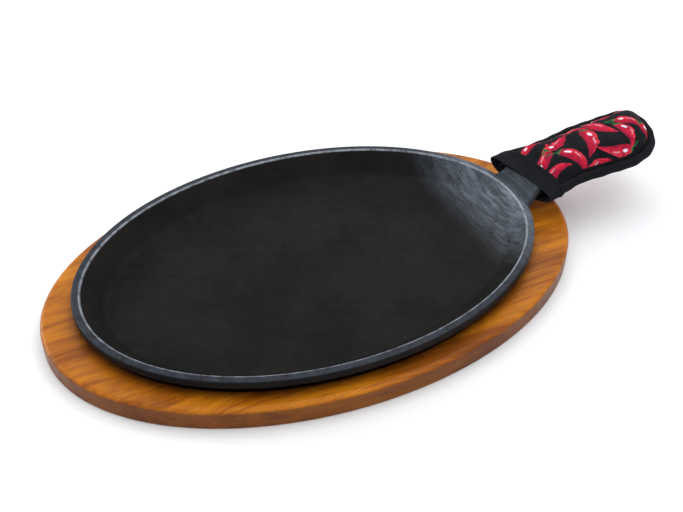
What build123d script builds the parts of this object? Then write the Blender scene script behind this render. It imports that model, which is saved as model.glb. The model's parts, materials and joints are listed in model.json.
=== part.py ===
"""Oval cast iron skillet for serving, on a wooden underliner, with a padded mitt on its handle.

Millimetres. The origin is the centre of the underliner's flat underside, +X points along the
skillet's handle and +Z points up.
"""
import os
from math import cos, radians, sin, tan

from build123d import *

# Wooden underliner
board_half_length = 149.0
board_half_width = 98.0
board_thickness = 12.0
board_top_round = 2.6
board_bottom_round = 1.0
recess_depth = 5.8
recess_clearance = 2.5
recess_corner_round = 3.0
recess_edge_round = 1.2

# Skillet body
skillet_x = -3.5
rim_half_length = 128.0
rim_half_width = 91.0
rim_top_z = 21.8
rim_width = 4.0
lip_height = 4.0
lip_overhang = 1.0
lip_round = 1.0
wall_lean = 13.0
floor_thickness = 4.0
inner_wall_lean = 12.0
foot_round = 5.0
inner_floor_round = 6.0

# Skillet neck and handle
neck_root_x = 108.0
neck_rise_x = 121.0
handle_x = 146.0
handle_z = 28.5
handle_tilt = 5.75
handle_start_x = 135.0
handle_end_x = 203.0
handle_thickness = 6.0
handle_edge_round = 1.5
neck_root_width = 46.0
neck_width = 34.0
neck_flare = 0.5
handle_start_width = 30.0
handle_width = 25.0
hang_hole_radius = 6.0
hang_hole_inset = 13.0

# Padded mitt; its outline lies in the handle's sloping plane, u along the handle from the
# point handle_x, v across it.
mitt_tip_u = 71.9
mitt_mouth_far_u = -19.6
mitt_mouth_near_u = -15.1
mitt_mouth_half_width = 25.0
mitt_wrist_u = 0.0
mitt_wrist_half_width = 23.3
mitt_waist_u = 24.0
mitt_waist_half_width = 22.3
mitt_palm_u = 50.0
mitt_palm_half_width = 23.3
mitt_top_height = 10.3
mitt_bottom_depth = 7.2
hem_bottom_depth = 10.4
cover_thickness = 0.8
cover_round = 6.5
pocket_half_height = 4.0
lining_thickness = 0.6
lining_round = 2.6
side_padding = 2.6
hem_width = 8.0
hem_thickness = 1.5
binding_width = 3.0
binding_half_thickness = 2.6
binding_round = 1.4

# Edges are picked out by height to within this distance
pick_tolerance = 0.01

foot_z = board_thickness - recess_depth
foot_half_length = rim_half_length - wall_lean
foot_half_width = rim_half_width - wall_lean
lip_z = rim_top_z - lip_height
inner_floor_z = foot_z + floor_thickness
mouth_middle_u = (mitt_mouth_near_u + mitt_mouth_far_u) / 2
mouth_skew = (mitt_mouth_near_u - mitt_mouth_far_u) / (2 * mitt_mouth_half_width)


def oval_plane(height):
    """A level plane through the skillet's vertical axis."""
    return Plane(origin=(skillet_x, 0, height), z_dir=(0, 0, 1))


# ---- wooden underliner ----
wall_slope = (wall_lean - lip_overhang) / (lip_z - foot_z)
wall_reach_at_board_top = wall_slope * recess_depth
recess_half_length = foot_half_length + wall_reach_at_board_top + recess_clearance
recess_half_width = foot_half_width + wall_reach_at_board_top + recess_clearance

with BuildPart() as wood_underliner:
    with BuildSketch(Plane.XY):
        Ellipse(board_half_length, board_half_width)
    extrude(amount=board_thickness)
    fillet(wood_underliner.edges().group_by(Axis.Z)[-1], radius=board_top_round)
    fillet(wood_underliner.edges().group_by(Axis.Z)[0], radius=board_bottom_round)
    with BuildSketch(oval_plane(foot_z)):
        Ellipse(recess_half_length, recess_half_width)
    extrude(amount=recess_depth, mode=Mode.SUBTRACT)
    recess_floor_edge = wood_underliner.edges().filter_by_position(
        Axis.Z, foot_z - pick_tolerance, foot_z + pick_tolerance)
    fillet(recess_floor_edge, radius=recess_corner_round)
    recess_mouth_edge = wood_underliner.faces().sort_by(Axis.Z)[-1].inner_wires()[0].edges()
    fillet(recess_mouth_edge, radius=recess_edge_round)

# ---- cast iron skillet: bowl, neck and handle are one casting ----
tilt_slope = tan(radians(handle_tilt))
half_thick = handle_thickness / 2
neck_root_z = rim_top_z - half_thick


def handle_centre_z(x):
    """Height of the straight handle's middle line above the underside plane."""
    return handle_z + (x - handle_x) * tilt_slope


with BuildPart() as handle_form:
    with BuildSketch(Plane.XZ):
        with BuildLine():
            upper_neck = Spline(
                (neck_rise_x, neck_root_z + half_thick),
                (handle_start_x, handle_centre_z(handle_start_x) + half_thick),
                tangents=((1, 0), (1, tilt_slope)),
            )
            lower_neck = Spline(
                (neck_rise_x, neck_root_z - half_thick),
                (handle_start_x, handle_centre_z(handle_start_x) - half_thick),
                tangents=((1, 0), (1, tilt_slope)),
            )
            end_top = (handle_end_x, handle_centre_z(handle_end_x) + half_thick)
            end_bottom = (handle_end_x, handle_centre_z(handle_end_x) - half_thick)
            root_top = (neck_root_x, neck_root_z + half_thick)
            root_bottom = (neck_root_x, neck_root_z - half_thick)
            Polyline(upper_neck @ 1, end_top, end_bottom, lower_neck @ 1)
            Polyline(lower_neck @ 0, root_bottom, root_top, upper_neck @ 0)
        make_face()
    extrude(amount=neck_root_width, both=True)
    with BuildSketch(Plane.XY):
        with BuildLine():
            tip_centre_x = handle_end_x - handle_width / 2
            right_side = Spline(
                (neck_root_x, -neck_root_width / 2),
                (neck_rise_x, -neck_width / 2),
                (handle_start_x, -handle_start_width / 2),
                (tip_centre_x, -handle_width / 2),
                tangents=((1, neck_flare), (1, 0)),
            )
            left_side = Spline(
                (neck_root_x, neck_root_width / 2),
                (neck_rise_x, neck_width / 2),
                (handle_start_x, handle_start_width / 2),
                (tip_centre_x, handle_width / 2),
                tangents=((1, -neck_flare), (1, 0)),
            )
            ThreePointArc(right_side @ 1, (handle_end_x, 0), left_side @ 1)
            Line(right_side @ 0, left_side @ 0)
        make_face()
    extrude(amount=2 * handle_z, mode=Mode.INTERSECT)
    outer_edges = handle_form.edges().filter_by(lambda edge: edge.center().X > neck_rise_x + 1)
    fillet(outer_edges.filter_by(lambda edge: edge.length > 2 * handle_thickness), radius=handle_edge_round)

handle_plane = Plane(
    origin=(handle_x, 0, handle_z),
    x_dir=(cos(radians(handle_tilt)), 0, sin(radians(handle_tilt))),
    z_dir=(-sin(radians(handle_tilt)), 0, cos(radians(handle_tilt))),
)
hang_hole_u = (handle_end_x - hang_hole_inset - handle_x) / cos(radians(handle_tilt))

with BuildPart() as cast_iron_skillet:
    with BuildSketch(oval_plane(foot_z)):
        Ellipse(foot_half_length, foot_half_width)
    with BuildSketch(oval_plane(lip_z)):
        Ellipse(rim_half_length - lip_overhang, rim_half_width - lip_overhang)
    loft()
    fillet(cast_iron_skillet.edges().group_by(Axis.Z)[0], radius=foot_round)
    with BuildSketch(oval_plane(lip_z)):
        Ellipse(rim_half_length, rim_half_width)
    extrude(amount=lip_height)
    fillet(cast_iron_skillet.edges().group_by(Axis.Z)[-1], radius=lip_round)
    add(handle_form.part)
    with BuildSketch(oval_plane(inner_floor_z)):
        Ellipse(rim_half_length - rim_width - inner_wall_lean, rim_half_width - rim_width - inner_wall_lean)
    with BuildSketch(oval_plane(rim_top_z)):
        Ellipse(rim_half_length - rim_width, rim_half_width - rim_width)
    loft(mode=Mode.SUBTRACT)
    inner_floor_edge = cast_iron_skillet.edges().filter_by_position(
        Axis.Z, inner_floor_z - pick_tolerance, inner_floor_z + pick_tolerance)
    fillet(inner_floor_edge, radius=inner_floor_round)
    with Locations(handle_plane.offset(half_thick)):
        with Locations((hang_hole_u, 0)):
            Hole(radius=hang_hole_radius, depth=handle_thickness)

# ---- padded handle mitt ----


def mitt_outline(inset):
    """Closed outline of the mitt in its plane, drawn in by an inset along the sides and tip."""
    mouth = mitt_mouth_half_width - inset
    wrist = mitt_wrist_half_width - inset
    waist = mitt_waist_half_width - inset
    palm = mitt_palm_half_width - inset
    side = Spline(
        (mouth_middle_u - mouth_skew * mouth, mouth),
        (mitt_wrist_u, wrist),
        (mitt_waist_u, waist),
        (mitt_palm_u, palm),
        (mitt_tip_u - inset, 0),
        (mitt_palm_u, -palm),
        (mitt_waist_u, -waist),
        (mitt_wrist_u, -wrist),
        (mouth_middle_u + mouth_skew * mouth, -mouth),
    )
    Line(side @ 1, side @ 0)


def padded_form(inset, top, bottom, edge_round):
    """A solid reaching above and below the mitt's plane, with its long edges rounded over."""
    with BuildPart() as form:
        with BuildSketch(handle_plane.offset(-bottom)):
            with BuildLine():
                mitt_outline(inset)
            make_face()
        extrude(amount=top + bottom)
        broad_faces = form.faces().sort_by(Axis.Z)
        side_edges = [face.edges().sort_by(SortBy.LENGTH)[-1] for face in (broad_faces[0], broad_faces[-1])]
        fillet(side_edges, radius=edge_round)
    return form.part


def mouth_zone(length):
    """A slanting slab over the mouth's end of the mitt, reaching in from the mouth by a length."""
    with BuildPart() as zone:
        with BuildSketch(handle_plane):
            reach = 2 * mitt_mouth_half_width
            middle_u = mouth_middle_u + length
            with BuildLine():
                Polyline(
                    (middle_u - mouth_skew * reach, reach),
                    (middle_u + mouth_skew * reach, -reach),
                    (middle_u - 3 * reach, -reach),
                    (middle_u - 3 * reach, reach),
                    close=True,
                )
            make_face()
        extrude(amount=3 * mitt_top_height, both=True)
    return zone.part


def half_space(side):
    """A block over the whole mitt on one side of its plane: 1 above it, -1 below it."""
    with BuildPart() as block:
        with BuildSketch(handle_plane):
            Rectangle(6 * mitt_tip_u, 6 * mitt_tip_u)
        extrude(amount=side * 3 * mitt_top_height)
    return block.part


cover_inset = binding_width
batting_inset = cover_inset + cover_thickness
lining_inset = batting_inset + side_padding
pocket_inset = lining_inset + lining_thickness
batting_top = mitt_top_height - cover_thickness
batting_bottom = mitt_bottom_depth - cover_thickness
lining_reach = pocket_half_height + lining_thickness
mouth_inset = cover_inset + hem_thickness
mouth_top = mitt_top_height - hem_thickness
mouth_bottom = hem_bottom_depth - hem_thickness

batting_round = cover_round - cover_thickness
pocket_round = lining_round - lining_thickness
mouth_round = cover_round - hem_thickness

cover_form = padded_form(cover_inset, mitt_top_height, mitt_bottom_depth, cover_round)
batting_form = padded_form(batting_inset, batting_top, batting_bottom, batting_round)
lining_form = padded_form(lining_inset, lining_reach, lining_reach, lining_round)
pocket_form = padded_form(pocket_inset, pocket_half_height, pocket_half_height, pocket_round)
binding_form = padded_form(0, binding_half_thickness, binding_half_thickness, binding_round)
hem_form = padded_form(cover_inset, mitt_top_height, hem_bottom_depth, cover_round)
mouth_form = padded_form(mouth_inset, mouth_top, mouth_bottom, mouth_round)
hem_zone = mouth_zone(hem_width)
upper_half = half_space(1)
lower_half = half_space(-1)


def mitt_layer(outer, inner, half):
    """One layer of one face of the mitt, from the hem to the tip."""
    with BuildPart() as layer:
        add(outer)
        add(inner, mode=Mode.SUBTRACT)
        add(hem_zone, mode=Mode.SUBTRACT)
        add(half, mode=Mode.INTERSECT)
    return layer


mitt_top_cover = mitt_layer(cover_form, batting_form, upper_half)
mitt_top_batting = mitt_layer(batting_form, lining_form, upper_half)
mitt_top_lining = mitt_layer(lining_form, pocket_form, upper_half)
mitt_bottom_cover = mitt_layer(cover_form, batting_form, lower_half)
mitt_bottom_batting = mitt_layer(batting_form, lining_form, lower_half)
mitt_bottom_lining = mitt_layer(lining_form, pocket_form, lower_half)

with BuildPart() as mitt_edge_binding:
    add(binding_form)
    add(cover_form, mode=Mode.SUBTRACT)
    add(hem_zone, mode=Mode.SUBTRACT)

with BuildPart() as mitt_mouth_hem:
    add(hem_form)
    add(binding_form)
    add(mouth_form, mode=Mode.SUBTRACT)
    add(hem_zone, mode=Mode.INTERSECT)

pieces = {
    "wood_underliner": wood_underliner,
    "cast_iron_skillet": cast_iron_skillet,
    "mitt_top_cover": mitt_top_cover,
    "mitt_top_batting": mitt_top_batting,
    "mitt_top_lining": mitt_top_lining,
    "mitt_bottom_cover": mitt_bottom_cover,
    "mitt_bottom_batting": mitt_bottom_batting,
    "mitt_bottom_lining": mitt_bottom_lining,
    "mitt_edge_binding": mitt_edge_binding,
    "mitt_mouth_hem": mitt_mouth_hem,
}

os.makedirs("parts", exist_ok=True)
for node, piece in pieces.items():
    piece.part.label = node
    export_step(piece.part, f"parts/{node}.step")
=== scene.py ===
"""Cast iron skillet on its wooden underliner, with a padded mitt on the handle.

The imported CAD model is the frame: it holds every rigid piece, the sizes and the joints. This
script gives the iron and the wood their finish and sews the mitt. Lengths are in metres.
"""
import json
from math import cos, exp, pi, radians, sin, sqrt

import bmesh
import bpy
from mathutils import Matrix, Vector, noise


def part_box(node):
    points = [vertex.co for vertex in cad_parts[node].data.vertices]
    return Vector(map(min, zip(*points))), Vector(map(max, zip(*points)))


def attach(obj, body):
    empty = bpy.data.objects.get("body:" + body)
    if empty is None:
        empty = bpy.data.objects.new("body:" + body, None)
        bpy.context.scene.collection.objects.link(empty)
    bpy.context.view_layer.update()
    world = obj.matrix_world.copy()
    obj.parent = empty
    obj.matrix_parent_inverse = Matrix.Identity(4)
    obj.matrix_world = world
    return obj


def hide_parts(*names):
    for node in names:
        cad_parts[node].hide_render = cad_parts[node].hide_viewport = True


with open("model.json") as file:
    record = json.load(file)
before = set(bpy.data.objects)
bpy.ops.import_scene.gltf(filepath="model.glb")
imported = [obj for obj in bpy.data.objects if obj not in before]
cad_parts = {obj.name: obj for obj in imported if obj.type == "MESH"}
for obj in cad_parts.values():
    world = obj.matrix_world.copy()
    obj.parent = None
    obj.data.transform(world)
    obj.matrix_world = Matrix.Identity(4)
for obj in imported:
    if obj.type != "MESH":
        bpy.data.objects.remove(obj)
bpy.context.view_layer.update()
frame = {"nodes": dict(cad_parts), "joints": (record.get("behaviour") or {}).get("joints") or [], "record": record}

bl_info = {
    "name": "Cast Iron Skillet",
    "version": (1, 0, 0),
    "blender": (4, 5, 0),
    "location": "View3D > Sidebar > Skillet",
    "description": "Finishes a cast iron skillet, its wooden underliner and its padded handle mitt",
    "category": "Object",
}

MM = 0.001


# ------------ places read from the frame

def mount(name):
    """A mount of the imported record, by name."""
    return next(entry for entry in frame["record"]["mounts"] if entry["name"] == name)


def joint(name):
    """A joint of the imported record, by name."""
    return next(entry for entry in frame["joints"] if entry["name"] == name)


class HandlePlane:
    """The sloping plane of the handle: u along it, v across it, w square to it."""

    hole_along = 44.2  # mm from the plane's origin to the hang hole
    along = Vector(joint("mitt_pull")["axis"]).normalized()
    across = Vector((0, 1, 0))
    up = Vector(mount("hang_hole")["axis"]).normalized()
    origin = Vector(mount("hang_hole")["pos_m"]) - along * hole_along * MM

    @classmethod
    def place(cls, u, v, w):
        return cls.origin + cls.along * u + cls.across * v + cls.up * w


HEM_LOW, HEM_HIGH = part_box("mitt_mouth_hem")
IRON_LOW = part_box("cast_iron_skillet")[0]
WOOD_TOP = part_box("wood_underliner")[1].z
BOWL_HEIGHT = 15.6 * MM
RIM_TOP = IRON_LOW.z + BOWL_HEIGHT
RIM_WIDTH = 4 * MM
IRON_HALF = Vector((128, 91, 0)) * MM
IRON_CENTRE = Vector((IRON_LOW.x + IRON_HALF.x, 0, 0))
NECK_X = IRON_CENTRE.x + IRON_HALF.x


# ------------ settings a user may change

def length_property(name, description, default):
    return bpy.props.FloatProperty(
        name=name, description=description, default=default, unit="LENGTH", subtype="DISTANCE", precision=4)


def colour_property(name, description, default):
    return bpy.props.FloatVectorProperty(
        name=name, description=description, default=default, size=3, subtype="COLOR", min=0, max=1)


class WoodSettings(bpy.types.PropertyGroup):
    """Finish of the wooden underliner, and the colour of the skillet's shadow painted round its recess."""

    honey: colour_property("Honey", "Lightest stain between the grain lines", (0.60, 0.205, 0.006))
    amber: colour_property("Amber", "Main stain colour", (0.34, 0.090, 0.003))
    umber: colour_property("Umber", "Darkest stain in the grain lines", (0.075, 0.016, 0.002))
    # Painted shadow: the skillet's contact shadow on the wood round the recess, painted in as a darker colour.
    contact_shadow: colour_property("Painted_shadow", "Wood darkened by the hot skillet", (0.022, 0.005, 0.002))
    ring_width: length_property("Ring width", "Distance between broad grain bands", 16 * MM)


class IronSettings(bpy.types.PropertyGroup):
    """Finish of the cast iron, with its painted sheen and highlight."""

    seasoning: colour_property("Seasoning", "Baked-on black of the seasoned iron", (0.0040, 0.0040, 0.0044))
    # Rim top: worn grey iron, lightened and blued as a painted sheen.
    bare_and_sheen: colour_property("Bare iron", "Grey of the rubbed rim", (0.060, 0.068, 0.088))
    # Painted sheen: the top of the neck is painted grey as the light it reflects.
    neck_sheen: colour_property("Slate", "Grey of the neck under the mitt's mouth", (0.034, 0.040, 0.050))
    # Painted sheen: the inner wall near the handle is painted a light blue-grey where it would reflect the light.
    wall_sheen: colour_property("Painted_sheen", "Grey where the wall near the handle is rubbed", (0.155, 0.18, 0.22))
    # Worn edge and painted highlight: a light line along the rim's inner edge.
    bright: colour_property("Bright edge", "Bare line along the rim's inner edge", (0.30, 0.32, 0.36))
    grain_size: length_property("Grain size", "Size of the cast surface's grains", 0.9 * MM)


class MittSettings(bpy.types.PropertyGroup):
    """Pattern and cloth of the padded handle mitt."""

    mouth_half_width: length_property(
        "Mouth half width", "Half the width of the mouth", (HEM_HIGH.y - HEM_LOW.y) / 2)
    top_height: length_property("Top height", "Height of the padded top above the seam", 10.2 * MM)
    bottom_depth: length_property("Bottom depth", "Depth of the padded bottom below the seam", 7.0 * MM)
    hem_width: length_property("Hem width", "Width of the band round the mouth", 11 * MM)
    hem_thickness: length_property("Hem thickness", "Thickness of the folded band", 1.7 * MM)
    mouth_rise: length_property("Mouth rise", "Height of the upper lip above the seam", 3.3 * MM)
    mouth_drop: length_property("Mouth drop", "How far the lower lip hangs below the seam", 7.9 * MM)
    pocket_half_height: length_property("Pocket half height", "Half the height of the pocket", 4.2 * MM)
    binding_inset: length_property("Binding inset", "Width of the binding round the seam", 4.5 * MM)
    cloth_black: colour_property("Black", "Plain black cotton", (0.0028, 0.003, 0.0042))
    chilli_red: colour_property("Red", "Printed chilli red", (0.60, 0.011, 0.038))
    leaf_green: colour_property("Green", "Printed stem green", (0.02, 0.12, 0.035))


class StageSettings(bpy.types.PropertyGroup):
    """Floor, light and camera."""

    floor_colour: colour_property("Floor", "Colour of the floor", (0.92, 0.92, 0.92))
    camera_azimuth: bpy.props.FloatProperty(
        name="Camera azimuth", description="Direction the camera looks, round the upright axis",
        default=radians(-25.75), subtype="ANGLE")
    camera_elevation: bpy.props.FloatProperty(
        name="Camera elevation", description="Height of the camera above the level", default=radians(39.3),
        subtype="ANGLE")
    camera_distance: length_property("Camera distance", "Distance from the camera to its target", 0.5524)
    lens: bpy.props.FloatProperty(
        name="Lens", description="Focal length of the camera in millimetres", default=51.75, min=10, max=200)


# ------------ shader helpers

def new_material(name):
    """An empty node material with its Principled shader."""
    material = bpy.data.materials.new(name)
    material.use_nodes = True
    tree = material.node_tree
    tree.nodes.clear()
    output = tree.nodes.new("ShaderNodeOutputMaterial")
    shader = tree.nodes.new("ShaderNodeBsdfPrincipled")
    tree.links.new(shader.outputs["BSDF"], output.inputs["Surface"])
    return material, Wiring(tree), shader


class Wiring:
    """Short calls that add and join the nodes of one tree."""

    def __init__(self, tree):
        self.tree = tree

    def node(self, kind, **settings):
        made = self.tree.nodes.new(kind)
        for key, value in settings.items():
            setattr(made, key, value)
        return made

    def feed(self, socket, value):
        """Joins an output to a socket, or sets the socket's own value."""
        if isinstance(value, bpy.types.NodeSocket):
            self.tree.links.new(value, socket)
        elif hasattr(value, "__len__") and len(value) == 3 and socket.type == "RGBA":
            socket.default_value = (*value, 1)
        else:
            socket.default_value = value

    def math(self, operation, first, second=0.0, third=0.0, clamp=False):
        made = self.node("ShaderNodeMath", operation=operation, use_clamp=clamp)
        for socket, value in zip(made.inputs, (first, second, third)):
            self.feed(socket, value)
        return made.outputs[0]

    def vector(self, operation, *values):
        """Vector maths: gives a length as a value and anything else as a vector."""
        made = self.node("ShaderNodeVectorMath", operation=operation)
        for socket, value in zip(made.inputs, values):
            self.feed(socket, value)
        return made.outputs["Value" if operation == "LENGTH" else "Vector"]

    def parts(self, vector):
        """The X, Y and Z of a vector."""
        made = self.node("ShaderNodeSeparateXYZ")
        self.feed(made.inputs[0], vector)
        return made.outputs

    def product(self, first, second):
        return self.math("MULTIPLY", first, second)

    def mix(self, factor, first, second):
        made = self.node("ShaderNodeMix", data_type="RGBA")
        self.feed(made.inputs["Factor"], factor)
        self.feed(made.inputs[6], first)
        self.feed(made.inputs[7], second)
        return made.outputs[2]

    def ramp(self, value, low, high, to_low=0.0, to_high=1.0):
        """Maps a value smoothly from one range to another, clamped."""
        made = self.node("ShaderNodeMapRange", interpolation_type="SMOOTHSTEP")
        for socket, entry in zip(made.inputs, (value, low, high, to_low, to_high)):
            self.feed(socket, entry)
        return made.outputs[0]

    def noise(self, vector, scale, detail=4.0, roughness=0.55, distortion=0.0):
        made = self.node("ShaderNodeTexNoise")
        self.feed(made.inputs["Vector"], vector)
        values = {"Scale": scale, "Detail": detail, "Roughness": roughness, "Distortion": distortion}
        for name, value in values.items():
            self.feed(made.inputs[name], value)
        return made.outputs["Fac"]

    def stretch(self, vector, scale):
        made = self.node("ShaderNodeMapping")
        self.feed(made.inputs["Vector"], vector)
        made.inputs["Scale"].default_value = scale
        return made.outputs[0]

    def bump(self, height, distance, strength=1.0, normal=None):
        made = self.node("ShaderNodeBump")
        made.inputs["Strength"].default_value = strength
        made.inputs["Distance"].default_value = distance
        self.feed(made.inputs["Height"], height)
        if normal is not None:
            self.feed(made.inputs["Normal"], normal)
        return made.outputs[0]

    def place(self, group, **values):
        """Puts a node group in the tree with its own values."""
        made = self.node("ShaderNodeGroup")
        made.node_tree = group
        for name, value in values.items():
            self.feed(made.inputs[name.replace("_", " ")], value)
        return made.outputs


def new_group(name, inputs, outputs):
    """A shader node group with named sockets; gives its wiring, inputs and output node."""
    group = bpy.data.node_groups.new(name, "ShaderNodeTree")
    for socket_name, kind, default in inputs:
        socket = group.interface.new_socket(name=socket_name, in_out="INPUT", socket_type=kind)
        if default is not None:
            socket.default_value = default
    for socket_name, kind in outputs:
        group.interface.new_socket(name=socket_name, in_out="OUTPUT", socket_type=kind)
    wiring = Wiring(group)
    return group, wiring, wiring.node("NodeGroupInput").outputs, wiring.node("NodeGroupOutput").inputs


VALUE, VECTOR, COLOUR = "NodeSocketFloat", "NodeSocketVector", "NodeSocketColor"


def weave_group():
    """Plain weave: threads crossing over and under, from flat cloth coordinates."""
    group, w, inputs, outputs = new_group(
        "plain_weave",
        [("Vector", VECTOR, None), ("Pitch", VALUE, 0.0005)], [("Height", VALUE), ("Wear", VALUE)])
    at = w.parts(inputs["Vector"])
    turns = w.math("DIVIDE", pi, inputs["Pitch"])
    warp = w.math("SINE", w.product(at["X"], turns))
    weft = w.math("SINE", w.product(at["Y"], turns))
    ridge = w.math("MAXIMUM", w.math("ABSOLUTE", warp), w.math("ABSOLUTE", weft))
    height = w.math("ADD", w.product(w.product(warp, weft), 0.3), w.product(ridge, 0.7))
    w.feed(outputs["Height"], height)
    fuzz = w.noise(inputs["Vector"], 900.0, 3.0)
    w.feed(outputs["Wear"], w.ramp(w.math("ADD", fuzz, w.product(height, 0.25)), 0.35, 0.95))
    return group


def mottle_group():
    """Uneven patches: a mask of broad ones and a value of fine ones."""
    group, w, inputs, outputs = new_group(
        "mottle", [("Vector", VECTOR, None), ("Patch", VALUE, 0.03)], [("Mask", VALUE), ("Fine", VALUE)])
    scale = w.math("DIVIDE", 1.0, inputs["Patch"])
    w.feed(outputs["Mask"], w.ramp(w.noise(inputs["Vector"], scale, 3.0, 0.6), 0.32, 0.68))
    w.feed(outputs["Fine"], w.noise(inputs["Vector"], w.product(scale, 9.0), 5.0, 0.65))
    return group


def oval_group():
    """Distance from an oval round the upright axis, in metres across it: less than 0 inside."""
    group, w, inputs, outputs = new_group(
        "oval_distance",
        [("Vector", VECTOR, None), ("Centre", VECTOR, None), ("Half", VECTOR, (1, 1, 1))],
        [("Distance", VALUE)])
    level = w.vector("MULTIPLY", w.vector("SUBTRACT", inputs["Vector"], inputs["Centre"]), (1, 1, 0))
    share = w.vector("LENGTH", w.vector("DIVIDE", level, inputs["Half"]))
    walked = w.math("DIVIDE", w.math("SUBTRACT", share, 1.0), w.math("MAXIMUM", share, 0.01))
    w.feed(outputs["Distance"], w.product(walked, w.vector("LENGTH", level)))
    return group


def chilli_group():
    """Prints one chilli pepper over the cloth colour it is given."""
    group, w, inputs, outputs = new_group(
        "printed_chilli",
        [("Cloth", COLOUR, None), ("Vector", VECTOR, None), ("Centre", VECTOR, None), ("Angle", VALUE, 0.0),
         ("Length", VALUE, 0.028), ("Width", VALUE, 0.008), ("Bend", VALUE, 0.1), ("Brush", VALUE, 0.0),
         ("Red", COLOUR, None), ("Green", COLOUR, None)],
        [("Color", COLOUR)])
    turn = w.node("ShaderNodeVectorRotate", rotation_type="Z_AXIS")
    w.feed(turn.inputs["Vector"], w.vector("SUBTRACT", inputs["Vector"], inputs["Centre"]))
    w.feed(turn.inputs["Angle"], w.product(inputs["Angle"], -1.0))
    local = w.parts(turn.outputs[0])
    x = w.math("DIVIDE", local["X"], w.product(inputs["Length"], 0.5))
    x_squared = w.product(x, x)
    arch = w.product(w.product(inputs["Bend"], inputs["Length"]), w.math("SUBTRACT", 0.5, x_squared))
    y = w.math("SUBTRACT", local["Y"], arch)
    roundness = w.math("SQRT", w.math("MAXIMUM", w.math("SUBTRACT", 1.0, x_squared), 0.0))
    taper = w.math("MULTIPLY_ADD", x, -0.36, 0.72)
    half_width = w.product(w.product(roundness, taper), w.product(inputs["Width"], 0.66))
    edge = w.math("SUBTRACT", half_width, w.math("ABSOLUTE", y))
    body = w.ramp(edge, 0.0, 0.00035)
    across = w.math("DIVIDE", y, w.math("MAXIMUM", half_width, 0.0004))
    shade = w.ramp(across, -1.0, 0.55, 0.35, 1.0)
    rosy = w.mix(shade, (0.17, 0.002, 0.026), inputs["Red"])
    pale = w.ramp(across, 0.35, 0.75)
    rosy = w.mix(w.product(pale, 0.16), rosy, (0.85, 0.16, 0.17))
    rosy = w.mix(inputs["Brush"], rosy, (0.23, 0.003, 0.03))

    def spot(centre_x, centre_y, reach_x, reach_y):
        """An oval patch of light near one place on the pepper's skin."""
        run = w.math("DIVIDE", w.math("SUBTRACT", x, centre_x), reach_x)
        rise = w.math("DIVIDE", w.math("SUBTRACT", across, centre_y), reach_y)
        spread = w.math("ADD", w.product(run, run), w.product(rise, rise))
        return w.ramp(spread, 0.45, 1.1, 1.0, 0.0)

    lit = w.math("MAXIMUM", spot(-0.56, 0.22, 0.15, 0.28), w.product(spot(-0.05, 0.42, 0.3, 0.13), 0.4))
    painted = w.mix(w.product(lit, body), w.mix(body, inputs["Cloth"], rosy), (0.72, 0.70, 0.80))
    stalk_curve = w.math("SUBTRACT", y, w.product(w.math("ADD", x, 0.95), inputs["Width"]))
    stalk = w.ramp(w.math("ABSOLUTE", stalk_curve), 0.00045, 0.0008, 1.0, 0.0)
    stalk_span = w.product(w.ramp(x, -1.34, -1.28), w.ramp(x, -0.95, -0.9, 1.0, 0.0))
    cap_edge = w.ramp(w.math("ADD", edge, 0.0004), 0.0, 0.0004)
    cap_span = w.product(w.ramp(x, -1.04, -1.0), w.ramp(x, -0.9, -0.8, 1.0, 0.0))
    cap = w.product(cap_span, cap_edge)
    green = w.math("MAXIMUM", w.product(stalk, stalk_span), cap, clamp=True)
    w.feed(outputs["Color"], w.mix(green, painted, inputs["Green"]))
    return group


# ------------ materials

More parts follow.
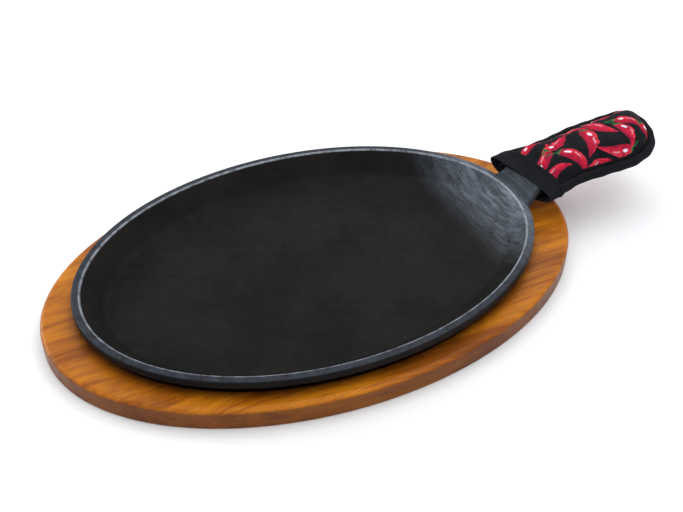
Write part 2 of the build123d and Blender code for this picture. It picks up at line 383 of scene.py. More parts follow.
def wood_material(settings, groups):
    """Amber-stained hardwood with long grain and a satin lacquer, with painted shade on its sides and the
    skillet's shadow painted round the recess.
    """
    material, w, shader = new_material("stained_wood")
    here = w.node("ShaderNodeTexCoord").outputs["Object"]
    warp = w.noise(w.stretch(here, (5, 14, 14)), 1.0, 3.0)
    bent = w.vector("MULTIPLY_ADD", warp, (0.0, 0.03, 0.03), here)
    band_scale = 1.0 / settings.ring_width
    bands = w.noise(w.stretch(bent, (0.09 * band_scale, band_scale, band_scale)), 1.0, 6.0, 0.62, 0.4)
    streaks = w.noise(w.stretch(bent, (9, 330, 330)), 1.0, 4.0, 0.7)
    pores = w.noise(w.stretch(here, (70, 1500, 1500)), 1.0, 2.0, 0.5)
    mottle = w.place(groups["mottle"], Vector=here, Patch=0.055)
    blotch = w.noise(w.stretch(bent, (14, 34, 34)), 1.0, 5.0, 0.65, 0.6)
    tone = w.math("ADD", w.product(bands, 0.45), w.product(streaks, 0.3))
    tone = w.math("MULTIPLY_ADD", blotch, 0.3, tone)
    dark = w.ramp(tone, 0.50, 0.66)
    light = w.ramp(tone, 0.42, 0.60, 1.0, 0.0)
    colour = w.mix(light, settings.amber, settings.honey)
    colour = w.mix(w.product(dark, 0.62), colour, settings.umber)
    colour = w.mix(w.product(mottle["Mask"], 0.35), colour, settings.amber)
    pore_mask = w.ramp(pores, 0.60, 0.70)
    colour = w.mix(w.product(pore_mask, 0.5), colour, settings.umber)
    # Painted shade: the board's sides, below the edge of its top, are darkened towards umber.
    shaded_side = w.ramp(w.parts(here)["Z"], WOOD_TOP - 2.8 * MM, WOOD_TOP - 0.6 * MM, 1.0, 0.0)
    colour = w.mix(w.product(shaded_side, 0.76), colour, settings.umber)
    # Painted shadow of the skillet on the wood: darkest under the rim, fading out over about a centimetre, its
    # edge broken up by the fine mottle.
    half = (IRON_HALF.x - 3 * MM, IRON_HALF.y - 3 * MM, 1.0)
    ring = w.place(groups["oval"], Vector=here, Centre=IRON_CENTRE, Half=half)["Distance"]
    ring = w.math("MULTIPLY_ADD", w.math("SUBTRACT", mottle["Fine"], 0.5), 0.004, ring)
    colour = w.mix(w.ramp(ring, -0.003, 0.008, 0.95, 0.0), colour, settings.contact_shadow)
    w.feed(shader.inputs["Base Color"], colour)
    w.feed(shader.inputs["Roughness"], w.ramp(mottle["Fine"], 0.3, 0.7, 0.30, 0.46))
    height = w.math("SUBTRACT", w.product(streaks, 0.35), w.product(pore_mask, 0.6))
    w.feed(shader.inputs["Normal"], w.bump(height, 0.00012, 0.55))
    shader.inputs["Specular IOR Level"].default_value = 0.16
    shader.inputs["Coat Weight"].default_value = 0.03
    shader.inputs["Coat Roughness"].default_value = 0.3
    return material


def iron_material(settings, groups):
    """Seasoned cast iron: fine cast grain, uneven black, a rim rubbed to grey with a painted sheen, a painted
    highlight along its inner edge, and painted sheen on the neck and on the wall near the handle.
    """
    material, w, shader = new_material("seasoned_iron")
    here = w.node("ShaderNodeTexCoord").outputs["Object"]
    scale = 1.0 / settings.grain_size
    grain = w.noise(here, scale, 5.0, 0.62)
    pits = w.noise(here, scale * 0.38, 2.0, 0.5)
    mottle = w.place(groups["mottle"], Vector=here, Patch=0.035)
    at = w.parts(here)
    # The rim's top: worn iron, and a painted sheen that makes it lighter and bluer than the walls.
    rim = w.ramp(at["Z"], RIM_TOP - 0.5 * MM, RIM_TOP - 0.05 * MM)
    rubbed = w.product(rim, w.ramp(mottle["Fine"], 0.25, 0.7, 0.35, 1.0))
    # A thin light line along the rim's inner edge: worn iron, and a painted highlight where the sharp edge would
    # catch the light.
    half = (IRON_HALF.x - RIM_WIDTH, IRON_HALF.y - RIM_WIDTH, 1.0)
    inside = w.place(groups["oval"], Vector=here, Centre=IRON_CENTRE, Half=half)["Distance"]
    line = w.ramp(w.math("ABSOLUTE", w.math("ADD", inside, 0.0002)), 0.0002, 0.0008, 1.0, 0.0)
    edge_wear_and_glint = w.product(line, w.ramp(mottle["Fine"], 0.3, 0.62, 0.25, 1.0))
    edge_wear_and_glint = w.product(edge_wear_and_glint, w.ramp(at["Z"], RIM_TOP - 2 * MM, RIM_TOP - 1 * MM))
    # Painted sheen on the neck: grey and streaked, laid over every other colour there.
    neck = w.ramp(at["X"], NECK_X - 6 * MM, NECK_X)
    strokes = w.noise(w.stretch(here, (900, 60, 900)), 1.0, 3.0, 0.7)
    neck = w.product(neck, w.ramp(strokes, 0.3, 0.7, 0.55, 1.0))
    # Painted sheen on the wall near the handle: a blue-grey patch broken by scuffs, growing towards the neck.
    wall_sheen_patch = w.ramp(at["X"], NECK_X - 42 * MM, NECK_X - 8 * MM)
    scuffs = w.noise(w.stretch(here, (420, 60, 130)), 1.0, 6.0, 0.75, 0.3)
    wall_sheen_patch = w.product(wall_sheen_patch, w.ramp(scuffs, 0.35, 0.68, 0.3, 1.0))
    brown = w.mix(mottle["Mask"], settings.seasoning, (0.010, 0.008, 0.0068))
    colour = w.mix(w.product(rubbed, 0.6), brown, settings.bare_and_sheen)
    colour = w.mix(w.product(wall_sheen_patch, 0.85), colour, settings.wall_sheen)
    colour = w.mix(neck, colour, settings.neck_sheen)
    colour = w.mix(w.ramp(pits, 0.62, 0.72, 0.0, 0.6), colour, (0.004, 0.0035, 0.0035))
    colour = w.mix(edge_wear_and_glint, colour, settings.bright)
    w.feed(shader.inputs["Base Color"], colour)
    rough = w.math("MULTIPLY_ADD", grain, 0.1, w.ramp(mottle["Fine"], 0.3, 0.7, 0.44, 0.58))
    worn = w.math("MAXIMUM", w.math("MAXIMUM", rubbed, neck), wall_sheen_patch)
    w.feed(shader.inputs["Roughness"], w.math("MULTIPLY_ADD", worn, -0.14, rough))
    bare_and_sheen = w.math("MAXIMUM", w.math("MAXIMUM", rubbed, edge_wear_and_glint), wall_sheen_patch)
    w.feed(shader.inputs["Metallic"], w.product(bare_and_sheen, 0.5))
    fine = w.bump(grain, 0.00016, 0.8)
    w.feed(shader.inputs["Normal"], w.bump(w.ramp(pits, 0.55, 0.75, 1.0, 0.0), 0.00012, 0.5, fine))
    shader.inputs["Specular IOR Level"].default_value = 0.08
    return material


PRINT_LAYOUT = (
    # each pepper: along (mm), across (mm), angle (degrees), length (mm), width (mm), bend
    (8, -18, 12, 25, 8.5, 0.12), (9, -3, 40, 22, 7.5, -0.14), (13, 12, 8, 24, 7.5, 0.12),
    (24, -14, -62, 23, 8.0, 0.16), (22, 3, 24, 21, 6.5, -0.12), (27, 21, 170, 23, 6.5, 0.12),
    (35, -24, 8, 22, 6.5, 0.12), (38, -6, -112, 25, 8.5, 0.12), (36, 10, -28, 20, 6.5, 0.14),
    (46, 19, 196, 22, 6.5, 0.12), (49, -18, 158, 22, 7.0, 0.12), (51, 4, -64, 26, 9.0, -0.10),
    (61, -10, -96, 22, 7.0, 0.14), (59, 15, -24, 20, 6.5, 0.12), (69, -2, -48, 22, 7.0, 0.12),
    (71, 18, 150, 20, 6.0, -0.12), (77, -14, -72, 21, 7.5, -0.12), (82, 4, -98, 24, 8.0, 0.10),
    (14, -29, 178, 20, 6.0, 0.10),
)


def cotton_material(name, settings, groups, printed):
    """Black cotton in a plain weave, with or without the chilli print."""
    material, w, shader = new_material(name)
    cloth = w.node("ShaderNodeUVMap", uv_map="cloth").outputs[0]
    weave = w.place(groups["weave"], Vector=cloth, Pitch=0.00042)
    mottle = w.place(groups["mottle"], Vector=cloth, Patch=0.012)
    colour = w.mix(mottle["Mask"], settings.cloth_black, tuple(1.9 * part for part in settings.cloth_black))
    if printed:
        sway = w.noise(w.stretch(cloth, (150, 150, 1)), 1.0, 2.0)
        printed_at = w.vector("MULTIPLY_ADD", sway, (0.0032, -0.0026, 0.0), cloth)
        brush = w.ramp(w.noise(w.stretch(cloth, (330, 170, 1)), 1.0, 3.0), 0.48, 0.62, 0.0, 0.75)
        for along, across, angle, length, width, bend in PRINT_LAYOUT:
            colour = w.place(
                groups["chilli"], Cloth=colour, Vector=printed_at, Centre=(along * MM, across * MM, 0),
                Angle=radians(angle), Length=length * MM, Width=width * MM, Bend=bend, Brush=brush,
                Red=settings.chilli_red, Green=settings.leaf_green)["Color"]
    lighter = w.mix(0.04, colour, (0.30, 0.30, 0.33))
    colour = w.mix(w.product(weave["Wear"], 0.55), colour, lighter)
    w.feed(shader.inputs["Base Color"], colour)
    w.feed(shader.inputs["Roughness"], w.ramp(weave["Wear"], 0.0, 1.0, 0.72, 0.9))
    w.feed(shader.inputs["Normal"], w.bump(weave["Height"], 0.00008, 0.6))
    shader.inputs["Specular IOR Level"].default_value = 0.09
    shader.inputs["Sheen Weight"].default_value = 0.01
    shader.inputs["Sheen Roughness"].default_value = 0.4
    return material


def batting_material(groups):
    """Loose off-white cotton batting."""
    material, w, shader = new_material("cotton_batting")
    here = w.node("ShaderNodeTexCoord").outputs["Object"]
    mottle = w.place(groups["mottle"], Vector=here, Patch=0.006)
    fibres = w.noise(here, 1400.0, 6.0, 0.75, 1.5)
    w.feed(shader.inputs["Base Color"], w.mix(mottle["Mask"], (0.78, 0.76, 0.70), (0.66, 0.63, 0.56)))
    w.feed(shader.inputs["Roughness"], w.ramp(fibres, 0.3, 0.7, 0.85, 1.0))
    w.feed(shader.inputs["Normal"], w.bump(fibres, 0.0004, 0.9))
    return material


def floor_material(colour):
    """Plain matt floor with the faintest unevenness."""
    material, w, shader = new_material("studio_floor")
    here = w.node("ShaderNodeTexCoord").outputs["Object"]
    paler = tuple(min(1, 1.01 * part) for part in colour)
    w.feed(shader.inputs["Base Color"], w.mix(w.noise(here, 3.0), colour, paler))
    shader.inputs["Roughness"].default_value = 0.9
    shader.inputs["Specular IOR Level"].default_value = 0.1
    return material


MADE = {}


def materials():
    """All materials, made once."""
    if not MADE:
        scene = bpy.context.scene
        groups = {
            "weave": weave_group(), "mottle": mottle_group(), "oval": oval_group(), "chilli": chilli_group()}
        MADE["wood"] = wood_material(scene.skillet_wood, groups)
        MADE["iron"] = iron_material(scene.skillet_iron, groups)
        MADE["print"] = cotton_material("printed_cotton", scene.skillet_mitt, groups, True)
        MADE["black"] = cotton_material("black_cotton", scene.skillet_mitt, groups, False)
        MADE["batting"] = batting_material(groups)
        MADE["floor"] = floor_material(tuple(scene.skillet_stage.floor_colour))
    return MADE


# ------------ mesh helpers

def link(name, data):
    """A new object in the scene."""
    made = bpy.data.objects.new(name, data)
    bpy.context.scene.collection.objects.link(made)
    return made


def add_piece(name, places, faces, loop_uvs, material, weld=0.0):
    """A smooth mesh object from places and faces, with flat cloth coordinates on its corners."""
    mesh = bpy.data.meshes.new(name)
    mesh.from_pydata([tuple(place) for place in places], [], faces)
    layer = mesh.uv_layers.new(name="cloth")
    for face, corners in zip(mesh.polygons, loop_uvs):
        for loop, corner in zip(face.loop_indices, corners):
            layer.data[loop].uv = corner
    mesh.materials.append(material)
    if weld:
        shape = bmesh.new()
        shape.from_mesh(mesh)
        bmesh.ops.remove_doubles(shape, verts=shape.verts, dist=weld)
        bmesh.ops.dissolve_degenerate(shape, edges=shape.edges, dist=weld / 4)
        bmesh.ops.recalc_face_normals(shape, faces=shape.faces)
        shape.to_mesh(mesh)
        shape.free()
    mesh.shade_smooth()
    return link(name, mesh)


def grid_piece(name, rows, columns, point, material, ring=False, capped=False, weld=0.0):
    """A piece made of a grid: point(row share, column share) gives a place and its cloth coordinates.

    With ring, the last column joins the first. With capped, the first and last rows are closed.
    """
    stored = [[point(i / rows, j / columns) for j in range(columns + 1)] for i in range(rows + 1)]
    width = columns if ring else columns + 1
    places = [stored[i][j][0] for i in range(rows + 1) for j in range(width)]
    faces, uvs = [], []
    for i in range(rows):
        for j in range(columns):
            right = (j + 1) % width if ring else j + 1
            faces.append((i * width + j, (i + 1) * width + j, (i + 1) * width + right, i * width + right))
            uvs.append([stored[a][b][1] for a, b in ((i, j), (i + 1, j), (i + 1, j + 1), (i, j + 1))])
    if capped:
        faces.append(tuple(range(width)))
        uvs.append([stored[0][j][1] for j in range(width)])
        faces.append(tuple(rows * width + j for j in reversed(range(width))))
        uvs.append([stored[rows][j][1] for j in reversed(range(width))])
    return add_piece(name, places, faces, uvs, material, weld)


def finish_piece(piece, body, slot_name, *nodes, subdivide=1):
    """Smooths a piece, ties it to its body and hides the nodes it stands for. The material slot's name is not
    used.
    """
    if subdivide:
        smoother = piece.modifiers.new("smooth", "SUBSURF")
        smoother.levels = smoother.render_levels = subdivide
    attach(piece, body)
    if nodes:
        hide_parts(*nodes)


def thicken(piece, thickness):
    """Gives a cloth surface its thickness, on the side away from its face."""
    shell = piece.modifiers.new("thickness", "SOLIDIFY")
    shell.thickness = thickness
    shell.offset = -1
    shell.use_even_offset = True


SIMULATION_SCALE = 10
CLOTH = {
    "quality": 6, "mass": 0.25, "tension_stiffness": 20, "compression_stiffness": 12, "shear_stiffness": 6,
    "bending_stiffness": 0.35, "use_pressure": True, "vertex_group_mass": "pinned",
}


def inflate(piece, pinned, pressure, growth, limit, frames=20):
    """Puffs a panel up with the cloth solver, held at its pinned points, and keeps the result.

    The panel is simulated ten times larger, where the solver is stable. No point moves further
    than the limit.
    """
    mesh = piece.data
    rest = [vertex.co.copy() for vertex in mesh.vertices]
    mesh.transform(Matrix.Scale(SIMULATION_SCALE, 4))
    holders = piece.vertex_groups.new(name="pinned")
    for index, weight in pinned.items():
        holders.add([index], weight, "REPLACE")
    cloth = piece.modifiers.new("cloth", "CLOTH")
    for name, value in CLOTH.items():
        setattr(cloth.settings, name, value)
    cloth.settings.uniform_pressure_force = pressure
    cloth.settings.shrink_min = -growth
    cloth.settings.effector_weights.gravity = 0
    cloth.collision_settings.use_collision = False
    for step in range(1, frames + 1):
        bpy.context.scene.frame_set(step)
    solved = piece.evaluated_get(bpy.context.evaluated_depsgraph_get()).data
    moved = [vertex.co / SIMULATION_SCALE for vertex in solved.vertices]
    piece.modifiers.remove(cloth)
    bpy.context.scene.frame_set(1)
    for vertex, start, end in zip(mesh.vertices, rest, moved):
        step = end - start
        if step.length > limit:
            step *= limit / step.length
        vertex.co = start + step


# ------------ the mitt's pattern

SEAM_LINE = (
    # along the handle and across it (mm), from the mouth's far corner round the tip to its near corner
    (-22.3, 25.0), (-10.0, 24.2), (0.0, 22.7), (12.0, 22.9), (24.0, 24.0), (38.0, 24.8), (50.0, 24.2),
    (60.0, 23.8), (68.0, 22.6), (73.6, 18.9), (75.4, 12.4), (74.8, 4.8), (72.4, -3.6), (68.8, -10.8),
    (63.2, -17.0), (55.5, -21.6), (45.0, -23.9), (33.0, -23.4), (22.0, -22.0), (11.0, -21.2),
    (1.0, -22.4), (-7.0, -24.2), (-15.2, -25.0),
)


class MittPattern:
    """Outline and sections of the mitt in the handle's plane."""

    def __init__(self, settings):
        self.settings = settings
        self.half_width = settings.mouth_half_width
        widen = self.half_width / (SEAM_LINE[0][1] * MM)
        self.corners = [Vector((u, v * widen)) * MM for u, v in SEAM_LINE]
        far, near = self.corners[0], self.corners[-1]
        self.skew = (near.x - far.x) / (far.y - near.y)
        self.mouth_u = (far.x + near.x) / 2
        self.tip_u = max(corner.x for corner in self.corners)
        self.edge = self.traced_edge(400)

    def traced_edge(self, count):
        """The seam line through its corners, smooth and evenly spaced."""
        corners, steps = self.corners, 24
        held = [2 * corners[0] - corners[1], *corners, 2 * corners[-1] - corners[-2]]
        raw = []
        for before, first, second, after in zip(held, held[1:], held[2:], held[3:]):
            for k in range(steps):
                t = k / steps
                bend = 2 * before - 5 * first + 4 * second - after
                twist = 3 * first - before - 3 * second + after
                raw.append((2 * first + (second - before) * t + bend * t ** 2 + twist * t ** 3) / 2)
        raw.append(corners[-1])
        walked = [0.0]
        for first, second in zip(raw, raw[1:]):
            walked.append(walked[-1] + (second - first).length)
        self.edge_length = walked[-1]
        edge, at = [], 0
        for k in range(count + 1):
            target = self.edge_length * k / count
            while at < len(walked) - 2 and walked[at + 1] < target:
                at += 1
            span = max(walked[at + 1] - walked[at], 1e-9)
            edge.append(raw[at].lerp(raw[at + 1], (target - walked[at]) / span))
        return edge

    def edge_point(self, share, inset=0.0):
        """A point of the seam line and its outward direction, drawn in by an inset."""
        count = len(self.edge) - 1
        at = min(max(share, 0.0), 1.0) * count
        low = min(int(at), count - 1)
        point = self.edge[low].lerp(self.edge[low + 1], at - low)
        ahead = self.edge[min(low + 2, count)] - self.edge[max(low - 1, 0)]
        outward = Vector((-ahead.y, ahead.x)).normalized()
        return point - outward * inset, outward

    def share_past_hem(self, distance):
        """How far along the seam line a point lies that is some way in from the mouth."""
        return distance / self.edge_length

    def spine_point(self, share):
        """The point of the mitt's middle line that an outline point is drawn towards."""
        focus = self.tip_u - 0.92 * self.half_width
        middle = (self.edge_point(share)[0].x + self.edge_point(1 - share)[0].x) / 2
        return Vector((min(middle, focus), 0.0))

    def inward(self, u, v):
        """How far in from the mouth's slanting line a point lies."""
        return u - (self.mouth_u - self.skew * v)

    def height_at(self, side, inward):
        """Height of the top, or depth of the bottom, some way in from the mouth."""
        s = self.settings
        lip, full = (s.mouth_rise, s.top_height) if side > 0 else (s.mouth_drop, s.bottom_depth)
        t = min(1.0, max(0.0, inward / (1.8 * s.hem_width)))
        return lip + (full - lip) * t * t * (3 - 2 * t)

    def dome(self, share):
        """Rise of a padded panel from its edge, at 0, to its middle, at 1."""
        return sqrt(max(0.0, 1 - (1 - share) ** 3.1))


# Sizes of the sewing: the cloth's unevenness, its thicknesses and the rolled edges.
RIPPLE_HEIGHT = 0.35 * MM
PUCKER_HEIGHT = 0.22 * MM
PUCKER_PITCH = 2.6 * MM
PRINT_SHIFT = 8 * MM
SEAM_HEIGHT = 1.2 * MM
PANEL_THICKNESS = 0.9 * MM
BATTING_GAP = 1.6 * MM
LINING_THICKNESS = 0.5 * MM
BINDING_RADIUS = 2.7 * MM
PIPING_RADIUS = 0.95 * MM
PUFF_LIMIT = 1.6 * MM


def squared_off(value, sharpness):
    """A sine or cosine pushed out towards its ends, so that a round section turns boxy."""
    return value * abs(value) ** -sharpness if abs(value) > 1e-6 else 0.0


def panel_point(pattern, start, inset, edge_height, height_of, side):
    """Makes the point function of one padded panel; side is 1 for the top and -1 for the bottom.

    height_of gives the panel's full height from the distance in from the mouth.
    """
    first = pattern.share_past_hem(start)

    def point(row, column):
        share = first + (1 - 2 * first) * row
        edge, _ = pattern.edge_point(share, inset)
        spread = 1 - (1 - column) ** 1.35
        dome = pattern.dome(spread)
        flat = edge.lerp(pattern.spine_point(share), spread)
        full = height_of(pattern.inward(flat.x, flat.y))
        rise = min(edge_height, full) + max(0.0, full - edge_height) * dome
        ripple = RIPPLE_HEIGHT * dome * noise.noise(Vector((flat.x * 90, flat.y * 90, side * 3.1)))
        gathers = sin(share * pattern.edge_length / PUCKER_PITCH)
        pucker = PUCKER_HEIGHT * gathers * exp(-spread * 7) * min(1, spread * 20)
        height = side * (rise + ripple + pucker)
        cloth = (flat.x - pattern.mouth_u - PRINT_SHIFT, flat.y * (1 + 0.22 * (1 - spread) ** 2))
        return HandlePlane.place(flat.x, flat.y, height), cloth

    return point


# ------------ operators

def dress(node_name, material_name):
    """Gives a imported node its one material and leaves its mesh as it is."""
    slots = frame["nodes"][node_name].data.materials
    slots.clear()
    slots.append(materials()[material_name])


class SKILLET_OT_underliner(bpy.types.Operator):
    """Gives the wooden underliner its stained grain and its painted shade"""

    bl_idname = "skillet.underliner"
    bl_label = "Wooden underliner"

    def execute(self, context):
        dress("wood_underliner", "wood")
        return {"FINISHED"}


class SKILLET_OT_pan(bpy.types.Operator):
    """Gives the casting its seasoned finish and its painted sheen"""

    bl_idname = "skillet.pan"
    bl_label = "Cast iron skillet"

    def execute(self, context):
        dress("cast_iron_skillet", "iron")
        return {"FINISHED"}


def sew_panel(name, pattern, side, slot_name, node, material):
    """One padded outer panel, puffed up by the cloth solver and held along its seam."""
    settings = pattern.settings
    hem_tuck = settings.hem_width - 3 * MM
    make_point = panel_point(pattern, hem_tuck, settings.binding_inset, SEAM_HEIGHT,
                             lambda inward: pattern.height_at(side, inward), side)
    panel = grid_piece(name, 132, 18, make_point, material, weld=0.05 * MM)
    seam = {}
    for vertex in panel.data.vertices:
        offset = vertex.co - HandlePlane.origin
        rise = abs(offset.dot(HandlePlane.up))
        u = offset.dot(HandlePlane.along)
        if rise < 2.0 * MM or u < pattern.mouth_u + hem_tuck + 3 * MM:
            seam[vertex.index] = 1.0
    inflate(panel, seam, pressure=side * 2.5, growth=0.03, limit=PUFF_LIMIT)
    thicken(panel, PANEL_THICKNESS)
    finish_piece(panel, "handle_mitt", slot_name, node)


class SKILLET_OT_mitt_panels(bpy.types.Operator):
    """Sews the printed top and bottom panels of the mitt"""

    bl_idname = "skillet.mitt_panels"
    bl_label = "Mitt panels"

    def execute(self, context):
        settings = context.scene.skillet_mitt
        pattern = MittPattern(settings)
        cloth = materials()["print"]
        sew_panel("mitt_top_panel", pattern, 1, "printed_cotton", "mitt_top_cover", cloth)
        sew_panel("mitt_bottom_panel", pattern, -1, "printed_cotton", "mitt_bottom_cover", cloth)
        return {"FINISHED"}


class SKILLET_OT_mitt_batting(bpy.types.Operator):
    """Lays the batting between the panels and the lining"""

    bl_idname = "skillet.mitt_batting"
    bl_label = "Mitt batting"

    def execute(self, context):
        settings = context.scene.skillet_mitt
        pattern = MittPattern(settings)
        pocket = settings.pocket_half_height + 0.8 * MM
        for word, side, height in (("top", 1, settings.top_height), ("bottom", -1, settings.bottom_depth)):
            make_point = panel_point(pattern, 1.5 * settings.hem_width, 6.5 * MM, 1.0 * MM,
                                     lambda inward: pattern.height_at(side, inward) - BATTING_GAP, side)
            wad = grid_piece(
                f"mitt_{word}_batting_pad", 90, 12, make_point, materials()["batting"], weld=0.05 * MM)
            thicken(wad, max(0.6 * MM, height - BATTING_GAP - pocket))
            finish_piece(wad, "handle_mitt", "cotton_batting", f"mitt_{word}_batting", subdivide=0)
        return {"FINISHED"}


class SKILLET_OT_mitt_lining(bpy.types.Operator):
    """Sews the black lining of the pocket"""

    bl_idname = "skillet.mitt_lining"
    bl_label = "Mitt lining"

    def execute(self, context):
        settings = context.scene.skillet_mitt
        pattern = MittPattern(settings)
        for word, side in (("top", 1), ("bottom", -1)):
            make_point = panel_point(pattern, 1.5 * MM, settings.binding_inset + 2.2 * MM, 0.3 * MM,
                                     self.pocket_height(pattern, side), side)
            lining = grid_piece(
                f"mitt_{word}_lining_sleeve", 110, 12, make_point, materials()["black"], weld=0.05 * MM)
            thicken(lining, LINING_THICKNESS)
            finish_piece(lining, "handle_mitt", "black_cotton", f"mitt_{word}_lining")
        return {"FINISHED"}

    @staticmethod
    def pocket_height(pattern, side):
        """The lining follows the pocket and runs out under the hem at the mouth."""
        settings = pattern.settings

        def height(inward):
            under_hem = pattern.height_at(side, inward) - settings.hem_thickness
            blend = min(1.0, max(0.0, inward / (1.5 * settings.hem_width)))
            return min(under_hem, under_hem + (settings.pocket_half_height - under_hem) * blend)

        return height


def swept_band(name, path, section, rows, columns, material):
    """A closed band: path(share) gives centre, outward and upward; section(angle) gives its outline."""

    def point(row, column):
        centre, outward, upward, walked = path(row)
        out, up = section(2 * pi * column, row)
        return centre + outward * out + upward * up, (walked, column * 0.02)

    return grid_piece(name, rows, columns, point, material, ring=True, capped=True)


class SKILLET_OT_mitt_binding(bpy.types.Operator):
    """Folds the binding over the side seam and lays the piping beside it"""

    bl_idname = "skillet.mitt_binding"
    bl_label = "Mitt binding"

    def execute(self, context):
        pattern = MittPattern(context.scene.skillet_mitt)
        first = pattern.share_past_hem(5 * MM)

        def path_at(inset, height):
            def path(share):
                along = first + (1 - 2 * first) * share
                edge, outward = pattern.edge_point(along, inset)
                sway = 0.25 * MM * noise.noise(Vector((edge.x * 70, edge.y * 70, inset * 900)))
                centre = HandlePlane.place(edge.x, edge.y, height + sway)
                direction = HandlePlane.along * outward.x + HandlePlane.across * outward.y
                return centre, direction, HandlePlane.up, along * pattern.edge_length
            return path

        def folded(angle, share):
            """A rolled edge, squared off above and below and gathered along its length."""
            gather = 1 + 0.05 * sin(share * pattern.edge_length / (1.9 * MM)) + 0.04 * sin(share * 61)
            radius = BINDING_RADIUS * gather
            return radius * cos(angle), radius * squared_off(sin(angle), 0.25)

        def cord(angle, share):
            radius = PIPING_RADIUS * (1 + 0.04 * sin(share * 97))
            return radius * cos(angle), radius * sin(angle)

        black = materials()["black"]
        binding = swept_band("mitt_binding", path_at(2.4 * MM, 0.0), folded, 260, 20, black)
        finish_piece(binding, "handle_mitt", "black_cotton", "mitt_edge_binding")
        for word, height in (("top", 2.5 * MM), ("bottom", -2.4 * MM)):
            piping = swept_band(f"mitt_{word}_piping", path_at(5.2 * MM, height), cord, 260, 10, black)
            finish_piece(piping, "handle_mitt", "black_cotton")
        return {"FINISHED"}


def hem_section(pattern, inward, angle):
    """Place across and above on the hem's outer face, some way in from the mouth, round its loop."""
    share = inward / pattern.settings.hem_width
    half_width = pattern.half_width - 0.07 * inward + 0.5 * MM
    side = 1 if sin(angle) >= 0 else -1
    reach = pattern.height_at(side, inward) + 0.6 * MM
    power = 2 / (2.8 - 0.8 * share) if side > 0 else 1 / 1.05
    slump = 0.4 * MM * noise.noise(Vector((cos(angle) * 1.7, sin(angle) * 1.7, share * 0.8)))
    across = half_width * abs(cos(angle)) ** power * (1 if cos(angle) >= 0 else -1)
    return across, reach * abs(sin(angle)) ** power * side + slump


class SKILLET_OT_mitt_hem(bpy.types.Operator):
    """Folds the hem round the mouth of the mitt"""

    bl_idname = "skillet.mitt_hem"
    bl_label = "Mitt hem"

    def execute(self, context):
        settings = context.scene.skillet_mitt
        pattern = MittPattern(settings)

        def point(row, column):
            """Rows go round the mouth; columns go once round the folded band's own section."""
            angle = 2 * pi * row
            turn = 2 * pi * column
            inward = settings.hem_width / 2 * (1 - squared_off(cos(turn), 0.35))
            depth = settings.hem_thickness / 2 * (1 - squared_off(sin(turn), 0.45))
            outer = Vector(hem_section(pattern, inward, angle))
            across, above = outer - outer.normalized() * depth
            u = pattern.mouth_u - pattern.skew * across + inward
            walked = row * 4 * pattern.half_width
            return HandlePlane.place(u, across, above), (walked, inward + depth)

        hem = grid_piece("mitt_hem_band", 140, 28, point, materials()["black"], ring=True, weld=0.01 * MM)
        finish_piece(hem, "handle_mitt", "black_cotton", "mitt_mouth_hem")
        return {"FINISHED"}


HEM_STITCHES = 96
BINDING_STITCHES = 92
THREAD_RADIUS = 0.24 * MM


class SKILLET_OT_mitt_stitching(bpy.types.Operator):
    """Runs the stitching along the hem and the binding"""

    bl_idname = "skillet.mitt_stitching"
    bl_label = "Mitt stitching"

    def execute(self, context):
        settings = context.scene.skillet_mitt
        pattern = MittPattern(settings)
        places, faces, uvs = [], [], []
        for k in range(HEM_STITCHES):
            angle = 2 * pi * (k + 0.5) / HEM_STITCHES
            ends = [self.hem_stitch_end(pattern, angle + shift) for shift in (-0.022, 0.022)]
            self.add_stitch(places, faces, uvs, *ends)
        first = pattern.share_past_hem(11 * MM)
        for side in (1, -1):
            for k in range(BINDING_STITCHES):
                middle = first + (1 - 2 * first) * (k + 0.5) / BINDING_STITCHES
                ends = [self.binding_stitch_end(pattern, middle + shift, side) for shift in (-0.0033, 0.0033)]
                self.add_stitch(places, faces, uvs, *ends)
        thread = add_piece("mitt_stitching", places, faces, uvs, materials()["black"])
        finish_piece(thread, "handle_mitt", "black_cotton", subdivide=0)
        return {"FINISHED"}

    @staticmethod
    def hem_stitch_end(pattern, angle):
        inward = pattern.settings.hem_width - 2.2 * MM
        outer = Vector(hem_section(pattern, inward, angle))
        outward = outer.normalized()
        across, above = outer + outward * 0.05 * MM
        u = pattern.mouth_u - pattern.skew * across + inward
        normal = HandlePlane.across * outward.x + HandlePlane.up * outward.y
        return HandlePlane.place(u, across, above), normal

    @staticmethod
    def binding_stitch_end(pattern, share, side):
        edge, outward = pattern.edge_point(share, 4.0 * MM)
        return HandlePlane.place(edge.x, edge.y, side * 2.75 * MM), HandlePlane.up * side

    @staticmethod
    def add_stitch(places, faces, uvs, start, end):
        """One short thread between two ends, sunk into the cloth at both."""
        (first, normal), (last, _) = start, end
        forward = (last - first).normalized()
        aside = forward.cross(normal).normalized()
        base, rings, sides = len(places), 5, 6
        for i in range(rings):
            share = i / (rings - 1)
            arch = sin(pi * share)
            centre = first.lerp(last, share) + normal * (0.22 * MM * arch - 0.08 * MM)
            radius = THREAD_RADIUS * (0.45 + 0.55 * arch)
            for j in range(sides):
                turn = 2 * pi * j / sides
                places.append(centre + aside * radius * cos(turn) + normal * radius * sin(turn))
        for i in range(rings - 1):
            for j in range(sides):
                right = (j + 1) % sides
                faces.append((base + i * sides + j, base + i * sides + right,
                              base + (i + 1) * sides + right, base + (i + 1) * sides + j))
                uvs.append([(0, 0), (0, 0.0002), (0.0003, 0.0002), (0.0003, 0)])
        faces.append(tuple(base + j for j in reversed(range(sides))))
        faces.append(tuple(base + (rings - 1) * sides + j for j in range(sides)))
        uvs.extend([[(0, 0)] * sides, [(0, 0)] * sides])


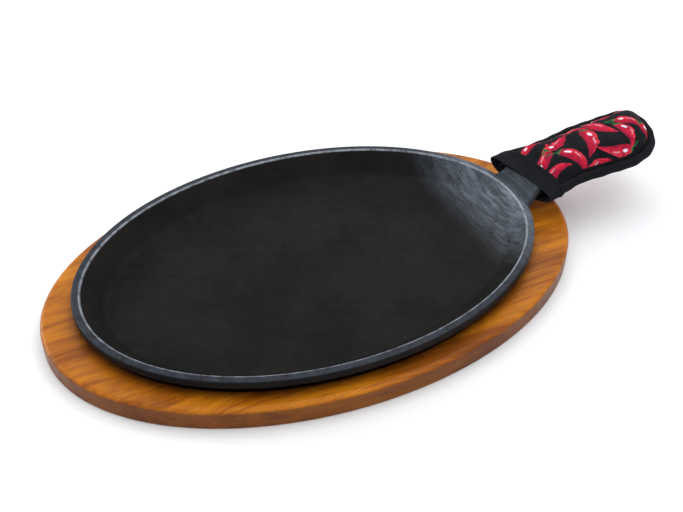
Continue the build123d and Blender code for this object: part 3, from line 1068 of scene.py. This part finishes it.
FLOOR_REACH = 6.0
FLOOR_LEVEL = -0.05 * MM
CAMERA_TARGET = Vector((18.86, 10.19, 0)) * MM
LAMPS = (
    # name, place (m), side (m), power (W)
    ("overhead", (0.40, 0.50, 1.35), 1.8, 10.5),
    ("front", (0.25, -0.95, 1.10), 1.3, 4.0),
    ("low_back", (-1.05, 1.15, 0.55), 0.8, 9.0),
)


class SKILLET_OT_stage(bpy.types.Operator):
    """Lays the floor, hangs the lights and sets the camera"""

    bl_idname = "skillet.stage"
    bl_label = "Stage"

    def execute(self, context):
        settings = context.scene.skillet_stage
        self.lay_floor()
        self.hang_lights(context)
        self.set_camera(context, settings)
        return {"FINISHED"}

    @staticmethod
    def lay_floor():
        mesh = bpy.data.meshes.new("floor")
        corners = ((-1, -1), (1, -1), (1, 1), (-1, 1))
        places = [(x * FLOOR_REACH, y * FLOOR_REACH, FLOOR_LEVEL) for x, y in corners]
        mesh.from_pydata(places, [], [(0, 1, 2, 3)])
        mesh.materials.append(materials()["floor"])
        floor = link("floor", mesh)

    @staticmethod
    def hang_lights(context):
        world = bpy.data.worlds.new("studio")
        context.scene.world = world
        world.use_nodes = True
        sky = world.node_tree.nodes["Background"]
        sky.inputs["Color"].default_value = (0.94, 0.97, 1.0, 1)
        sky.inputs["Strength"].default_value = 0.84
        for name, place, size, power in LAMPS:
            lamp = bpy.data.lights.new(name, "AREA")
            lamp.shape = "SQUARE"
            lamp.size = size
            lamp.energy = power
            holder = link(name, lamp)
            holder.location = place
            holder.rotation_euler = (-Vector(place)).to_track_quat("-Z", "Y").to_euler()

    @staticmethod
    def set_camera(context, settings):
        azimuth, elevation = settings.camera_azimuth, settings.camera_elevation
        forward = Vector((-sin(azimuth) * cos(elevation), cos(azimuth) * cos(elevation), -sin(elevation)))
        lens = bpy.data.cameras.new("camera")
        lens.sensor_width = 36
        lens.lens = settings.lens
        lens.clip_start = 0.02
        camera = link("camera", lens)
        camera.location = CAMERA_TARGET - forward * settings.camera_distance
        camera.rotation_euler = forward.to_track_quat("-Z", "Y").to_euler()
        context.scene.camera = camera
        context.scene.view_settings.view_transform = "Standard"


class SKILLET_PT_panel(bpy.types.Panel):
    """Lists the pieces of the skillet"""

    bl_idname = "SKILLET_PT_panel"
    bl_label = "Cast iron skillet"
    bl_space_type = "VIEW_3D"
    bl_region_type = "UI"
    bl_category = "Skillet"

    def draw(self, context):
        for operator in OPERATORS:
            self.layout.operator(operator.bl_idname)
        for key in SETTINGS:
            settings = getattr(context.scene, key)
            box = self.layout.box()
            for name in settings.__annotations__:
                box.prop(settings, name)


SETTINGS = {
    "skillet_wood": WoodSettings,
    "skillet_iron": IronSettings,
    "skillet_mitt": MittSettings,
    "skillet_stage": StageSettings,
}
OPERATORS = (
    SKILLET_OT_stage,
    SKILLET_OT_underliner,
    SKILLET_OT_pan,
    SKILLET_OT_mitt_panels,
    SKILLET_OT_mitt_batting,
    SKILLET_OT_mitt_lining,
    SKILLET_OT_mitt_binding,
    SKILLET_OT_mitt_hem,
    SKILLET_OT_mitt_stitching,
)


def register():
    for name, group in SETTINGS.items():
        bpy.utils.register_class(group)
        setattr(bpy.types.Scene, name, bpy.props.PointerProperty(type=group))
    for made in (*OPERATORS, SKILLET_PT_panel):
        bpy.utils.register_class(made)


def unregister():
    for made in reversed((*OPERATORS, SKILLET_PT_panel)):
        bpy.utils.unregister_class(made)
    for name, group in SETTINGS.items():
        delattr(bpy.types.Scene, name)
        bpy.utils.unregister_class(group)


def main():
    register()
    for operator in OPERATORS:
        group, name = operator.bl_idname.split(".")
        if getattr(getattr(bpy.ops, group), name)() != {"FINISHED"}:
            raise RuntimeError(f"{operator.bl_label} was not made")


if __name__ == "__main__":
    main()
